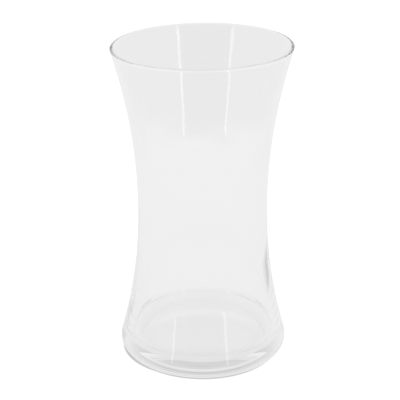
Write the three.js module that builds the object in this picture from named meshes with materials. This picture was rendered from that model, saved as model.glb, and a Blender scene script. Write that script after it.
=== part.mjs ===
// Hourglass vase of clear glass, blown in a mould as a single piece.
// Millimetres, +Z up. The origin is the middle of the foot, on the surface that the vase stands on.
import * as THREE from "three";

// The outside of the vase.
const height = 200;
const mouthRadius = 55.5; // where the upper flare reaches the full height
const waistRadius = 40.2; // the narrowest place
const waistHeight = 98;
const footRadius = 55.8; // where the lower flare would reach the table if the heel were sharp
const heelRounding = 9; // the round edge between the side and the underside

// The thickness of the glass. The side thins upwards from the heel, because it was blown out there last.
const lipThickness = 2; // melted to a full round
const waistThickness = 1.8;
const footThickness = 6; // of the side, where it would reach the table
const bottomThickness = 9.5; // in the middle of the bottom
const insideRounding = 8; // the round corner between the side and the bottom inside
const insideCrown = 2.5; // how far the bottom inside rises from that corner to its middle

// The vase stands on a flat ring, and the bottom inside it is pushed up clear of the table.
const ringWidth = 4;
const pushUp = 1.8;

// How finely the shape is drawn.
const sidesAround = 72;
const stepsPerFlare = 8;
const stepsPerRounding = 5;

// The value between low and high where a rising function passes zero, found by halving the span.
function risesThroughZero(rising, low, high) {
  const halvings = 50;
  let [below, above] = [low, high];
  for (let i = 0; i < halvings; i += 1) {
    const middle = (below + above) / 2;
    if (rising(middle) < 0) below = middle;
    else above = middle;
  }
  return (below + above) / 2;
}

// A flare is one half of a side: a parabola, upright at the waist, that reaches the end given here.
function flare(waist, end) {
  const bend = (end.x - waist) / (end.y - waistHeight) ** 2;
  return {
    radius: (z) => waist + bend * (z - waistHeight) ** 2,
    slope: (z) => 2 * bend * (z - waistHeight),
  };
}

function flarePoints(side, fromHeight, toHeight) {
  const points = [];
  for (let i = 0; i <= stepsPerFlare; i += 1) {
    const z = THREE.MathUtils.lerp(fromHeight, toHeight, i / stepsPerFlare);
    points.push(new THREE.Vector2(side.radius(z), z));
  }
  return points;
}

// A rounding touches a flare from within and a level. It is found by rolling a ball along the flare
// until its centre has the height that the level gives.
function roundingOn(side, radius, centreHeight, lowest, highest) {
  const facing = (z) => Math.atan2(-side.slope(z), 1);
  const centreAt = (z) => z - radius * Math.sin(facing(z));
  const touch = risesThroughZero((z) => centreAt(z) - centreHeight, lowest, highest);
  const angle = facing(touch);
  const centre = new THREE.Vector2(side.radius(touch) - radius * Math.cos(angle), centreHeight);
  return { centre, radius, angle, touch };
}

function arcPoints({ centre, radius }, fromAngle, toAngle) {
  const clockwise = toAngle < fromAngle;
  const arc = new THREE.EllipseCurve(centre.x, centre.y, radius, radius, fromAngle, toAngle, clockwise);
  return arc.getPoints(stepsPerRounding);
}

// A shallow dome round the axis, from its top out to its edge.
function domePoints(edge, rise) {
  const points = [];
  for (let i = 0; i <= stepsPerRounding; i += 1) {
    const share = i / stepsPerRounding;
    points.push(new THREE.Vector2(edge.x * share, edge.y + rise * (1 - share ** 2)));
  }
  return points;
}

// The crown is the dome of the bottom inside. The round corner runs on past its lowest point, by a tilt
// that gives it the slope of the dome there, and the dome then rises to the crown's height at the axis.
function crownOn({ centre, radius }) {
  const edgeAt = (tilt) => {
    const outward = new THREE.Vector2(-Math.sin(tilt), -Math.cos(tilt));
    return outward.multiplyScalar(radius).add(centre);
  };
  const riseAt = (tilt) => (edgeAt(tilt).x * Math.tan(tilt)) / 2;
  const top = centre.y - radius + insideCrown;
  const tilt = risesThroughZero((t) => edgeAt(t).y + riseAt(t) - top, 0, Math.PI / 4);
  return { tilt, edge: edgeAt(tilt), rise: riseAt(tilt) };
}

// Half of the glass cut through the axis: x is the distance from the axis, and y the height.
// It runs from the axis along the underside, up the outside, over the lip and down the inside.
function vaseSection() {
  const down = -Math.PI / 2;
  const cornerLevel = pushUp + bottomThickness - insideCrown;
  const insideWaist = waistRadius - waistThickness;

  const outsideBelow = flare(waistRadius, new THREE.Vector2(footRadius, 0));
  const heel = roundingOn(outsideBelow, heelRounding, heelRounding, 0, waistHeight);
  const underside = new THREE.Vector2(heel.centre.x - ringWidth, 0);

  const outsideAbove = flare(waistRadius, new THREE.Vector2(mouthRadius, height));
  const lipRadius = lipThickness / 2;
  const lip = roundingOn(outsideAbove, lipRadius, height - lipRadius, waistHeight, height);
  const lipEnd = lip.angle + Math.PI;

  const lipInside = new THREE.Vector2(Math.cos(lipEnd), Math.sin(lipEnd));
  lipInside.multiplyScalar(lipRadius).add(lip.centre);
  const insideAbove = flare(insideWaist, lipInside);

  const insideBelow = flare(insideWaist, new THREE.Vector2(footRadius - footThickness, 0));
  const cornerHeight = cornerLevel + insideRounding;
  const corner = roundingOn(insideBelow, insideRounding, cornerHeight, cornerLevel, waistHeight);
  const crown = crownOn(corner);

  return [
    ...domePoints(underside, pushUp),
    ...arcPoints(heel, down, heel.angle),
    ...flarePoints(outsideBelow, heel.touch, waistHeight),
    ...flarePoints(outsideAbove, waistHeight, lip.touch),
    ...arcPoints(lip, lip.angle, lipEnd),
    ...flarePoints(insideAbove, lipInside.y, waistHeight),
    ...flarePoints(insideBelow, waistHeight, corner.touch),
    ...arcPoints(corner, corner.angle, down - crown.tilt),
    ...domePoints(crown.edge, crown.rise).reverse(),
  ];
}

// Two stretches of the section share the point where they meet, and the lathe needs it once.
function withoutRepeats(points) {
  const apart = 1e-3;
  return points.filter((point, i) => i === 0 || point.distanceTo(points[i - 1]) > apart);
}

const clearGlass = new THREE.MeshStandardMaterial({
  name: "clear_glass",
  color: 0xeef1f0,
  roughness: 0.03,
  metalness: 0,
  transparent: true,
  opacity: 0.25,
});

function glassBody() {
  const geometry = new THREE.LatheGeometry(withoutRepeats(vaseSection()), sidesAround);
  geometry.rotateX(Math.PI / 2); // the lathe turns about +Y, and the vase stands along +Z
  const mesh = new THREE.Mesh(geometry, clearGlass);
  mesh.name = "glass_body";
  return mesh;
}

const vase = new THREE.Group();
vase.add(glassBody());

export default vase;
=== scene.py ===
# %% [markdown]
# # A clear glass hourglass vase
# This lesson dresses a vase that is a single piece of clear blown glass. There is no colour, print or
# grain to help us: everything that the eye sees is the room, bent and mirrored by the wall. So the work
# has three parts. The wall needs its true thickness and its round edges, the glass needs the faint
# waviness of something that was once soft, and the room round it needs the right bright and dark places.
# Sizes are in metres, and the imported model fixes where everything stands.

# %% The frame
import math

import bmesh
import bpy
from mathutils import Matrix, Vector, noise


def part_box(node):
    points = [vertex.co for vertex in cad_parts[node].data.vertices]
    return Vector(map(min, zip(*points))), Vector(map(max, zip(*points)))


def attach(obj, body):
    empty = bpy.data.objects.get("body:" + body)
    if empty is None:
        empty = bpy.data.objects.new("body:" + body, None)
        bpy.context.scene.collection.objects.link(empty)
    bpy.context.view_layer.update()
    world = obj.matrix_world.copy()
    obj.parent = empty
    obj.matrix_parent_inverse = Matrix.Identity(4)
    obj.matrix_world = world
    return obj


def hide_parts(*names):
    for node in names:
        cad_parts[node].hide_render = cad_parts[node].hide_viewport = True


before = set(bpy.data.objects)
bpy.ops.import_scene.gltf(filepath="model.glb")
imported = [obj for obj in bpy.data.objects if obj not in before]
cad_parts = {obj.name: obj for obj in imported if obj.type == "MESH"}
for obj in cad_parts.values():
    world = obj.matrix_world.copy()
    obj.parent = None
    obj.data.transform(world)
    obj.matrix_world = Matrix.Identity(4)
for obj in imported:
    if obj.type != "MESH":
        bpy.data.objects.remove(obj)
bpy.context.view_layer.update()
foot_corner, lip_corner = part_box("glass_body")
HEIGHT = lip_corner.z - foot_corner.z
print(f"packed vase: {HEIGHT * 1000:.1f} mm tall, {lip_corner.x * 2000:.1f} mm across the lip")

# %% [markdown]
# ## The sizes of the wall
# The outside is two gentle flares that meet, upright, at the waist. The inside follows it at the
# thickness of the glass: thin where the bubble was stretched most, at the waist, and thick in the foot,
# where the glass stayed cool against the mould. The bottom is thicker still and rises to a low crown
# inside, as molten glass does when it is blown down into a mould. Underneath, a flat ring carries the
# vase, and the middle is pushed up, so that an uneven bottom can't rock on a table.

# %% Sizes
MM = 0.001
MOUTH_RADIUS = 55.5 * MM      # where the upper flare reaches the full height
WAIST_RADIUS = 40.2 * MM
WAIST_HEIGHT = 98 * MM
FOOT_RADIUS = 55.8 * MM       # where the lower flare would reach the table if the heel were sharp
HEEL_ROUNDING = 9 * MM
LIP_THICKNESS = 2 * MM
WAIST_THICKNESS = 1.8 * MM
FOOT_THICKNESS = 6 * MM
BOTTOM_THICKNESS = 9.5 * MM   # in the middle
INSIDE_ROUNDING = 8 * MM
INSIDE_CROWN = 2.5 * MM       # how far the bottom inside rises from its corner to its middle
RING_WIDTH = 4 * MM
PUSH_UP = 1.8 * MM

SIDES_AROUND = 288
STEPS_PER_FLARE = 40
STEPS_PER_ROUNDING = 16

# %% [markdown]
# ## The section
# A vase made on a blowing iron is a body of revolution, so its wall is drawn once, as half of a cut
# through the axis, and then turned. The section needs only a few formulas: a parabola for each flare
# and each dome, and a round corner wherever two of its lines meet. A round corner is found by rolling a
# ball down the inside of a flare until it touches the level below it.

# %% Halving
HALVINGS = 50


def where_zero(rising, low, high):
    """The value between low and high where a rising function passes zero."""
    for _ in range(HALVINGS):
        middle = (low + high) / 2
        if rising(middle) < 0:
            low = middle
        else:
            high = middle
    return middle


# %% Flares
def equal_steps(start, end, steps):
    """The values from start to end, both included, in equal steps."""
    return [start + (end - start) * i / steps for i in range(steps + 1)]


class Flare:
    """One half of a side: a parabola, upright at the waist, that reaches the end given here."""

    def __init__(self, waist, end_radius, end_height):
        self.waist = waist
        self.bend = (end_radius - waist) / (end_height - WAIST_HEIGHT) ** 2

    def radius(self, height):
        return self.waist + self.bend * (height - WAIST_HEIGHT) ** 2

    def facing(self, height):
        """The angle, above level, that the side faces."""
        return math.atan2(-2 * self.bend * (height - WAIST_HEIGHT), 1)

    def points(self, start, end):
        heights = equal_steps(start, end, STEPS_PER_FLARE)
        return [(self.radius(height), height) for height in heights]


# %% Round corners and domes
class RoundCorner:
    """A ball that touches a flare from within, with its centre at a given height."""

    def __init__(self, flare, ball, centre_height, lowest, highest):
        def too_high(height):
            return height - ball * math.sin(flare.facing(height)) - centre_height

        self.ball = ball
        self.touch = where_zero(too_high, lowest, highest)
        self.angle = flare.facing(self.touch)
        self.middle = flare.radius(self.touch) - ball * math.cos(self.angle)
        self.height = centre_height

    def at(self, angle):
        return self.middle + self.ball * math.cos(angle), self.height + self.ball * math.sin(angle)

    def points(self, start, end):
        return [self.at(angle) for angle in equal_steps(start, end, STEPS_PER_ROUNDING)]


def dome(edge_radius, edge_height, rise):
    """A shallow dome round the axis, from its top out to its edge."""
    shares = equal_steps(0, 1, STEPS_PER_ROUNDING)
    return [(edge_radius * share, edge_height + rise * (1 - share * share)) for share in shares]


# %% [markdown]
# The section runs from the axis along the underside, round the heel, up the outside, over the lip and
# down the inside to the axis again. The inside corner runs on past its lowest point, until its slope is
# that of the dome that rises from there.

# %% The section of the wall
DOWN = -math.pi / 2


def crowned_floor(corner):
    """The corner's end and the dome that follows it, as (angle of the end, points to the axis)."""
    def rise(tilt):
        return corner.at(DOWN - tilt)[0] * math.tan(tilt) / 2

    def over_crown(tilt):
        return corner.at(DOWN - tilt)[1] + rise(tilt) - corner.at(DOWN)[1] - INSIDE_CROWN

    tilt = where_zero(over_crown, 0, math.pi / 4)
    return DOWN - tilt, dome(*corner.at(DOWN - tilt), rise(tilt))[::-1]


def wall_section():
    outside_below = Flare(WAIST_RADIUS, FOOT_RADIUS, 0)
    heel = RoundCorner(outside_below, HEEL_ROUNDING, HEEL_ROUNDING, 0, WAIST_HEIGHT)
    outside_above = Flare(WAIST_RADIUS, MOUTH_RADIUS, HEIGHT)
    lip_ball = LIP_THICKNESS / 2
    lip = RoundCorner(outside_above, lip_ball, HEIGHT - lip_ball, WAIST_HEIGHT, HEIGHT)
    lip_inside = lip.at(lip.angle + math.pi)

    inside_waist = WAIST_RADIUS - WAIST_THICKNESS
    inside_above = Flare(inside_waist, *lip_inside)
    inside_below = Flare(inside_waist, FOOT_RADIUS - FOOT_THICKNESS, 0)
    corner_level = PUSH_UP + BOTTOM_THICKNESS - INSIDE_CROWN
    corner_height = corner_level + INSIDE_ROUNDING
    corner = RoundCorner(inside_below, INSIDE_ROUNDING, corner_height, corner_level, WAIST_HEIGHT)
    corner_end, floor_inside = crowned_floor(corner)
    return (
        dome(heel.middle - RING_WIDTH, 0, PUSH_UP)
        + heel.points(DOWN, heel.angle)
        + outside_below.points(heel.touch, WAIST_HEIGHT)
        + outside_above.points(WAIST_HEIGHT, lip.touch)
        + lip.points(lip.angle, lip.angle + math.pi)
        + inside_above.points(lip_inside[1], WAIST_HEIGHT)
        + inside_below.points(WAIST_HEIGHT, corner.touch)
        + corner.points(corner.angle, corner_end)
        + floor_inside
    )


section = wall_section()
print(f"section: {len(section)} points, widest {max(r for r, z in section) * 1000:.1f} mm from the axis")

# %% [markdown]
# ## Turning the section
# `bmesh.ops.spin` sweeps the outline round the axis, as a glassblower turns the iron. A full spin with
# `use_merge` closes onto its own start, and merging the points on the axis closes the two poles. A spin
# can come out inside out, so the faces are then turned to point out of the glass, which tells the shader
# where glass begins and ends.

# %% The glass
MERGED_WITHIN = 0.001 * MM


def revolve(outline):
    """The outline, given as (radius, height) points, turned into a closed skin round the axis."""
    bm = bmesh.new()
    points = [bm.verts.new((radius, 0, height)) for radius, height in outline]
    lines = [bm.edges.new(pair) for pair in zip(points, points[1:])]
    bmesh.ops.spin(
        bm,
        geom=points + lines,
        cent=(0, 0, 0),
        axis=(0, 0, 1),
        angle=math.tau,
        steps=SIDES_AROUND,
        use_merge=True,
    )
    bmesh.ops.remove_doubles(bm, verts=bm.verts, dist=MERGED_WITHIN)
    bmesh.ops.recalc_face_normals(bm, faces=bm.faces)
    for face in bm.faces:
        face.smooth = True
    return bm


glass = revolve(section)
print(f"glass: {len(glass.verts)} points, {len(glass.faces)} faces")

# %% [markdown]
# ## What the heat leaves
# A mould leaves glass smooth but never flat. Swells a centimetre or two long and hundredths of a
# millimetre high are what make a mirrored lamp wander and sparkle. The inside, which touches only air,
# swells by itself, so that the two mirror images of a lamp drift apart and together again. A bump
# could fake the swells, but light that runs along inside the wall meets it at a glancing angle, where a
# bump swallows light, so the points themselves are moved. The ring that the vase stands on stays flat,
# and over the lip the swells of one side pass smoothly into those of the other.

# %% Swells
SWELL_LENGTH = 15 * MM
SWELL_HEIGHT = 0.05 * MM
INSIDE_SHIFT = Vector((7.3, 2.9, 5.1))   # another stretch of the same noise


def smooth(share):
    """A share from 0 to 1 that leaves both ends gently."""
    share = min(1, max(0, share))
    return share * share * (3 - 2 * share)


def outside_radius(height):
    end_radius, end_height = (FOOT_RADIUS, 0) if height < WAIST_HEIGHT else (MOUTH_RADIUS, HEIGHT)
    return Flare(WAIST_RADIUS, end_radius, end_height).radius(height)


for point in glass.verts:
    radius = math.hypot(point.co.x, point.co.y)
    if radius == 0:
        continue
    place = point.co / SWELL_LENGTH
    outside = smooth(1 - (outside_radius(point.co.z) - radius) / WAIST_THICKNESS)
    swell = outside * noise.noise(place) + (1 - outside) * noise.noise(place + INSIDE_SHIFT)
    swell *= SWELL_HEIGHT * smooth((point.co.z - HEEL_ROUNDING) / HEEL_ROUNDING)
    point.co.x *= 1 + swell / radius
    point.co.y *= 1 + swell / radius

widest = max(math.hypot(point.co.x, point.co.y) for point in glass.verts)
print(f"with its swells: {widest * 2000:.2f} mm across at the widest")

# %% [markdown]
# ## A lip that isn't quite level
# The mould gives the vase its height, but the lip is made last: the neck is cracked off and the edge is
# melted round in a flame, and it comes out a little higher on one side. Half a millimetre is enough to
# see against a level table. The lean fades out towards the waist, where the mould still rules.

# %% The lean of the lip
LIP_LEAN = 0.5 * MM   # up at +X, and as much down at -X

for point in glass.verts:
    share = max(0, (point.co.z - WAIST_HEIGHT) / (HEIGHT - WAIST_HEIGHT))
    point.co.z += LIP_LEAN * share ** 2 * point.co.x / MOUTH_RADIUS

vase_mesh = bpy.data.meshes.new("glass_vase")
glass.to_mesh(vase_mesh)
glass.free()
vase = bpy.data.objects.new("glass_vase", vase_mesh)
bpy.context.scene.collection.objects.link(vase)
top = max(point.co.z for point in vase_mesh.vertices)
print(f"lip: {vase.dimensions.x * 1000:.1f} mm across, top at {top * 1000:.2f} mm")

# %% [markdown]
# ## The glass itself
# Soda-lime glass bends light by an index of about 1.52 and, in a wall this thin, has no colour that the
# eye could see. Fire and mould leave it fully smooth, so its roughness is 0.

# %% Clear glass
WHITE = (1, 1, 1, 1)
GLASS_INDEX = 1.52


def clear_glass():
    material = bpy.data.materials.new("clear_glass")
    material.use_nodes = True
    shader = material.node_tree.nodes["Principled BSDF"]
    shader.inputs["Base Color"].default_value = WHITE
    shader.inputs["Metallic"].default_value = 0
    shader.inputs["Roughness"].default_value = 0
    shader.inputs["IOR"].default_value = GLASS_INDEX
    shader.inputs["Transmission Weight"].default_value = 1
    return material


vase_mesh.materials.append(clear_glass())
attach(vase, "root")
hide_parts("glass_body")
print(f"{vase.name}: {vase_mesh.materials[0].name}, index {GLASS_INDEX}")

# %% [markdown]
# ## The room
# Clear glass is photographed in a white tent: where everything round it has nearly one tone, the glass
# almost disappears, and only the places that differ draw it. Here these are the opening that the
# camera looks through, which is dimmer, the top, the place behind the vase that the lamps don't reach,
# a darker card at the right side, and two tall strip lamps at the sides of the opening. The tones are
# written as functions of where one looks: `turn` is the angle round the vase from the camera's side
# towards +X, and `rise` is the height above level, both in degrees. Soft steps join them, because cloth
# has no sharp edges.

# %% Nodes
def add(tree, kind, **settings):
    """A new node in a tree, with its settings made."""
    node = tree.nodes.new(kind)
    for name, value in settings.items():
        setattr(node, name, value)
    return node


def feed(tree, socket, value):
    """Gives a socket a number, or links it to another node's output."""
    if isinstance(value, (int, float)):
        socket.default_value = value
    else:
        tree.links.new(value, socket)


def maths(tree, operation, *values):
    node = add(tree, "ShaderNodeMath", operation=operation)
    for socket, value in zip(node.inputs, values):
        feed(tree, socket, value)
    return node.outputs[0]


# %% Soft steps and blends
def soft_step(tree, value, span, low=0.0, high=1.0):
    """Goes smoothly from low to high while the value crosses a span, given as (start, end)."""
    node = add(tree, "ShaderNodeMapRange", interpolation_type="SMOOTHSTEP")
    for socket, setting in zip(node.inputs, (value, *span, low, high)):
        feed(tree, socket, setting)
    return node.outputs[0]


def fade(tree, value, span):
    """A share that falls smoothly from 1 to 0 while the value crosses a span."""
    return soft_step(tree, value, span, 1.0, 0.0)


def both(tree, first, second):
    """The product of two shares, which is whole only where both are."""
    return maths(tree, "MULTIPLY", first, second)


def band(tree, value, comes, goes):
    """A share that rises to 1 over one span of a value and falls back to 0 over a later one."""
    return both(tree, soft_step(tree, value, comes), fade(tree, value, goes))


def blend(tree, share, first, second):
    """The first value where the share is 0, and the second where it is 1."""
    node = add(tree, "ShaderNodeMix", data_type="FLOAT")
    feed(tree, node.inputs[0], share)
    feed(tree, node.inputs[2], first)
    feed(tree, node.inputs[3], second)
    return node.outputs[0]


# %% Distance and turn
def length(tree, x, y):
    squares =maths(tree, "ADD", both(tree, x, x), both(tree, y, y))
    return maths(tree, "SQRT", squares)


def turn_of(tree, x, y):
    """The angle round the vase, in degrees, from the camera's side towards +X."""
    angle = maths(tree, "ARCTAN2", x, maths(tree, "MULTIPLY", y, -1.0))
    return maths(tree, "DEGREES", angle)


# %% [markdown]
# A tone of 1 is the white of the picture. Beside each tone stand the spans over which it comes or goes.
# A patch that has an edge on every side has two spans of turn and two of rise.

# %% The tent's tones
TENT = 0.88
WALL_COMES = (-10, -5.5)          # rise
TENT_TOP = 0.66
TOP_COMES = (15, 65)              # rise
SWEEP_LOW = 0.87                  # the sweep behind the vase, just over the table's edge
SWEEP_HIGH = 0.825
SWEEP_DARKENS = (-19.4, -17.4)    # rise
NEAR_SIDE = 0.95                  # below the level, towards the camera
NEAR_SIDE_GOES = (80, 130)        # turn to either side
BEHIND = 0.58
BEHIND_COMES = (110, 165)         # turn to either side
BEHIND_RISES = ((15, 26), (45, 60))
RIGHT_CARD = 0.62
RIGHT_CARD_TURNS = ((60, 72), (104, 118))
RIGHT_CARD_RISES = ((12, 18), (28, 36))
OPENING = 0.64
OPENING_TURNS = ((-43, -38), (26.5, 31.5))
OPENING_RISES = ((-9.8, -6.8), (25, 45))


# %% The tent
def tent_tone(tree, turn, rise):
    sideways = maths(tree, "ABSOLUTE", turn)
    sweep = soft_step(tree, rise, SWEEP_DARKENS, SWEEP_LOW, SWEEP_HIGH)
    low = blend(tree, soft_step(tree, sideways, NEAR_SIDE_GOES), NEAR_SIDE, sweep)
    wall = soft_step(tree, rise, TOP_COMES, TENT, TENT_TOP)
    behind = both(tree, soft_step(tree, sideways, BEHIND_COMES), band(tree, rise, *BEHIND_RISES))
    wall = blend(tree, behind, wall, BEHIND)
    card = both(tree, band(tree, turn, *RIGHT_CARD_TURNS), band(tree, rise, *RIGHT_CARD_RISES))
    wall = blend(tree, card, wall, RIGHT_CARD)
    tone = blend(tree, soft_step(tree, rise, WALL_COMES), low, wall)
    opening = both(tree, band(tree, turn, *OPENING_TURNS), band(tree, rise, *OPENING_RISES))
    return blend(tree, opening, tone, OPENING)


# %% [markdown]
# The photograph's background was made pure white, while the glass kept the greys that it had in the
# tent. A Light Path node does the same: a ray straight from the camera sees white, and every ray that
# has met the glass sees the tent.

# %% White for the camera
SEEN_WHITE = 1.05    # a little over white, so that it is white for certain


def white_if_seen(tree, tone, seen=SEEN_WHITE):
    """The tone for all rays but those straight from the camera, which see the other value."""
    path = add(tree, "ShaderNodeLightPath")
    return blend(tree, path.outputs["Is Camera Ray"], tone, seen)


# %% World
tent = bpy.data.worlds.new("white_tent")
tent.use_nodes = True
tent.node_tree.nodes.clear()
bpy.context.scene.world = tent
tree = tent.node_tree
look = add(tree, "ShaderNodeTexCoord")
split = add(tree, "ShaderNodeSeparateXYZ")
tree.links.new(look.outputs["Generated"], split.inputs[0])
rise = maths(tree, "DEGREES", maths(tree, "ARCSINE", split.outputs["Z"]))
turn = turn_of(tree, split.outputs["X"], split.outputs["Y"])
background = add(tree, "ShaderNodeBackground")
background.inputs["Color"].default_value = WHITE
feed(tree, background.inputs["Strength"], white_if_seen(tree, tent_tone(tree, turn, rise)))
output = add(tree, "ShaderNodeOutputWorld")
tree.links.new(background.outputs[0], output.inputs[0])
print(f"tent: {len(tree.nodes)} nodes")

# %% [markdown]
# ## The table
# A white board, so wide that its far edge is hidden in the glass. Through the glass it shows painted
# shade, greyer under the foot, where less light gets in, and greyest at the front, and painted light
# towards the camera, away from the foot. The spans are given in degrees of turn, in metres from the axis,
# or in metres along Y, which is the way that the camera looks.

# %% The table's tones
TABLE = 0.865
# painted light on the board towards the camera
TABLE_NEAR = 0.91                         # towards the camera, away from the foot
TABLE_NEAR_GOES = (60, 110)               # turn to either side
TABLE_NEAR_COMES = (80 * MM, 150 * MM)    # from the axis
# painted shade on the board under the foot, greyest at the front
UNDER_FOOT = 0.81
UNDER_FOOT_GOES = (50 * MM, 80 * MM)      # from the axis
UNDER_FRONT = 0.785
UNDER_FRONT_GOES = (-30 * MM, -10 * MM)   # along Y
UNDER_MIDDLE = 0.85
UNDER_MIDDLE_GOES = (26 * MM, 40 * MM)    # from the axis


def board_tone(tree, y, distance, turn):
    """The board's painted light and shade, from the place along Y, the distance from the axis and the
    turn.
    """
    sideways = maths(tree, "ABSOLUTE", turn)
    camera_side = fade(tree, sideways, TABLE_NEAR_GOES)
    near = both(tree, camera_side, soft_step(tree, distance, TABLE_NEAR_COMES))
    tone = blend(tree, near, TABLE, TABLE_NEAR)
    under = soft_step(tree, y, UNDER_FRONT_GOES, UNDER_FRONT, UNDER_FOOT)
    tone = blend(tree, soft_step(tree, distance, UNDER_FOOT_GOES), under, tone)
    past_front = soft_step(tree, y, UNDER_FRONT_GOES)
    middle = both(tree, fade(tree, distance, UNDER_MIDDLE_GOES), past_front)
    return blend(tree, middle, tone, UNDER_MIDDLE)


# %% [markdown]
# A painted dark reflection: a grey spot is painted on the board at the back right. Only light that the
# inside of the wall mirrors once shows it, as a dark mark low on the right edge: through the middle of
# the vase it would be a blot. Such light has met the glass three times, where it came in, where it was
# mirrored and where it left, and the Light Path node counts that as its Ray Depth.

# %% The painted dark reflection
# the tone of a painted dark reflection: a grey spot on the board that only once-mirrored light sees
DARK_REFLECTION = 0.45
DARK_REFLECTION_TURNS = ((110, 120), (142, 152))
DARK_REFLECTION_DISTANCES = ((100 * MM, 125 * MM), (155 * MM, 185 * MM))
MIRRORED_ONCE = 3
HALF_A_STEP = 0.5


def with_dark_reflection(tree, tone, distance, turn):
    dark_reflection = both(tree, band(tree, turn, *DARK_REFLECTION_TURNS), band(tree, distance, *DARK_REFLECTION_DISTANCES))
    path = add(tree, "ShaderNodeLightPath")
    mirrored = maths(tree, "COMPARE", path.outputs["Ray Depth"], MIRRORED_ONCE, HALF_A_STEP)
    return blend(tree, both(tree, dark_reflection, mirrored), tone, DARK_REFLECTION)


# %% [markdown]
# Directly, the camera sees the board as white as the tent, but for a thin dark line where the round heel
# keeps the light away. Two round shadows make it, one of them shifted, so that the line is a little wider
# on the left. The board lies a tenth of a millimetre under the foot, because two surfaces in exactly one
# plane give a ray no sure answer.

# %% The line of shadow
SHADOW = 0.55
SHADOW_GOES = (46.6 * MM, 48.2 * MM)      # from the axis
SHADOW_SHIFT = (-4.4 * MM, 3 * MM)        # of the second shadow, along X and Y


def table_tone(tree):
    where = add(tree, "ShaderNodeTexCoord")
    split = add(tree, "ShaderNodeSeparateXYZ")
    tree.links.new(where.outputs["Object"], split.inputs[0])
    x, y = split.outputs["X"], split.outputs["Y"]
    distance = length(tree, x, y)
    turn = turn_of(tree, x, y)
    tone = with_dark_reflection(tree, board_tone(tree, y, distance, turn), distance, turn)
    shifted = [maths(tree, "SUBTRACT", place, shift) for place, shift in zip((x, y), SHADOW_SHIFT)]
    from_middle = maths(tree, "MINIMUM", distance, length(tree, *shifted))
    seen = soft_step(tree, from_middle, SHADOW_GOES, SHADOW, SEEN_WHITE)
    return white_if_seen(tree, tone, seen)


def white_board():
    material = bpy.data.materials.new("white_board")
    material.use_nodes = True
    tree = material.node_tree
    tree.nodes.clear()
    light = add(tree, "ShaderNodeEmission")
    feed(tree, light.inputs["Strength"], table_tone(tree))
    output = add(tree, "ShaderNodeOutputMaterial")
    tree.links.new(light.outputs[0], output.inputs["Surface"])
    return material


# %% Floor
TABLE_RADIUS = 380 * MM
TABLE_SIDES = 96
TABLE_HEIGHT = -0.1 * MM

board = bmesh.new()
bmesh.ops.create_circle(
    board,
    cap_ends=True,
    segments=TABLE_SIDES,
    radius=TABLE_RADIUS,
    matrix=Matrix.Translation((0, 0, TABLE_HEIGHT)),
)
table_mesh = bpy.data.meshes.new("table")
board.to_mesh(table_mesh)
board.free()
table = bpy.data.objects.new("table", table_mesh)
bpy.context.scene.collection.objects.link(table)
table_mesh.materials.append(white_board())
print(f"table: {table.dimensions.x * 1000:.0f} mm across")

# %% [markdown]
# ## The strip lamps
# Each lamp is a tall narrow soft box. The wall mirrors it as a thin upright streak, once from the far
# side of the mouth and once, more faintly, from the outside of the near wall. The swells make the streaks
# wander, and both pairs stop where the wall begins to mirror the place below the lamps. Both lamps reach
# equally low and high, seen from the middle of the vase.

# %% Strip lights
LAMP_DISTANCE = 6.0
LAMP_RISES = (-7.6, 18.5)    # of the lower and the upper end
LAMP_TONE = 1.52
RIGHT_LAMP = (32.5, 0.32)    # turn and width
LEFT_LAMP = (-42, 0.28)


def strip_lamp(name, turn, width):
    """A tall lamp that faces the vase, at a given turn in degrees."""
    turn = math.radians(turn)
    low, high = (LAMP_DISTANCE * math.tan(math.radians(rise)) + HEIGHT / 2 for rise in LAMP_RISES)
    data = bpy.data.lights.new(name, "AREA")
    data.shape = "RECTANGLE"
    data.size = width
    data.size_y = high - low
    data.energy = LAMP_TONE * width * (high - low) * math.pi
    lamp = bpy.data.objects.new(name, data)
    bpy.context.scene.collection.objects.link(lamp)
    lamp.location = Vector((math.sin(turn), -math.cos(turn), 0)) * LAMP_DISTANCE
    lamp.location.z = (low + high) / 2
    lamp.rotation_euler = (math.pi / 2, 0, turn)
    lamp.visible_camera = False
    print(f"{name}: {data.energy:.1f} W")


strip_lamp("strip_right", *RIGHT_LAMP)
strip_lamp("strip_left", *LEFT_LAMP)

# %% [markdown]
# ## The camera
# A long lens looks down on the vase by a little over 21 degrees, so that the mouth opens into an ellipse
# and the bottom shows through the near wall.

# %% Camera
CAMERA_PLACE = (-0.0016, -0.7683, 0.4029)
LOOKS_DOWN = math.radians(21.49)
LEANS = math.radians(-0.27)    # the camera wasn't held quite level
LENS_IN_PIXELS = 1323          # the focal length, in pixels of the picture
PICTURE_WIDTH = 400            # in pixels
SENSOR_WIDTH = 36              # in millimetres, as Blender counts them

camera_data = bpy.data.cameras.new("camera")
camera_data.sensor_width = SENSOR_WIDTH
camera_data.lens = LENS_IN_PIXELS * SENSOR_WIDTH / PICTURE_WIDTH
camera = bpy.data.objects.new("camera", camera_data)
bpy.context.scene.collection.objects.link(camera)
camera.location = CAMERA_PLACE
aim = Matrix.Rotation(math.pi / 2 - LOOKS_DOWN, 3, "X") @ Matrix.Rotation(LEANS, 3, "Z")
camera.rotation_euler = aim.to_euler()
bpy.context.scene.camera = camera
bpy.context.scene.view_settings.view_transform = "Standard"
print(f"camera: {camera_data.lens:.0f} mm lens, {camera.location.length * 1000:.0f} mm from the foot")

# %% [markdown]
# Light that enters the edge of the lip or the heel can run on inside the wall, mirrored from side to
# side a hundred times, before it comes out. With the usual few bounces it would be lost on the way, and
# the edges would turn black.

# %% Bounces
BOUNCES = 256

cycles = bpy.context.scene.cycles
cycles.max_bounces = BOUNCES
cycles.transmission_bounces = BOUNCES
cycles.glossy_bounces = BOUNCES
